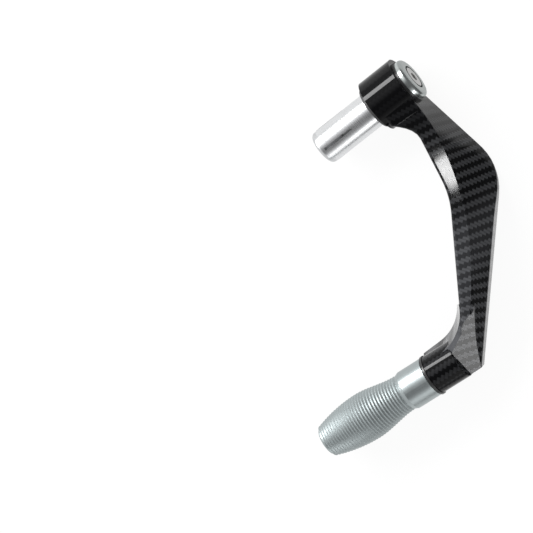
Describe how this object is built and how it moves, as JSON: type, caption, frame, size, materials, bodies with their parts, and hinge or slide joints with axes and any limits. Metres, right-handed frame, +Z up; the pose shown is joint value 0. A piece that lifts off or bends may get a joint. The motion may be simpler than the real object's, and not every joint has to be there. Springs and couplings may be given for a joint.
{
  "type": "motorcycle brake lever guard",
  "caption": "C-shaped brake lever guard for a handlebar end: slim carbon-look arm, slotted expanding bar plug with silver cap, and a ridged barrel-shaped metal grip at its front.",
  "frame": {"origin": "on the handlebar axis, at the inboard face of the rubber ring, where the end of the handlebar tube stops", "axes": "+X outboard along the handlebar, +Y to the rear of the machine, +Z up; the arm reaches forward along -Y and back inboard along -X"},
  "size_m": [0.1446, 0.1385, 0.0262],
  "materials": {
    "arm": "carbon-look twill film under clear gloss coat",
    "cap_washer": "black nylon",
    "cap": "polished, silver anodised",
    "bar_bolt": "zinc plated",
    "ring_rubber": "black rubber",
    "sleeve": "bright turned",
    "expander": "bright turned",
    "grip_ring": "black",
    "grip": "silver anodised, turned ridges",
    "grip_screw": "black oxide"
  },
  "bodies": {
    "root": {"guard_arm": "arm", "cap_washer": "cap_washer", "bolt_cap": "cap", "bar_bolt": "bar_bolt", "sleeve_ring": "ring_rubber", "bar_sleeve": "sleeve", "expander_nut": "expander", "grip_ring": "grip_ring", "end_grip": "grip", "grip_screw": "grip_screw"}
  },
  "joints": []
}
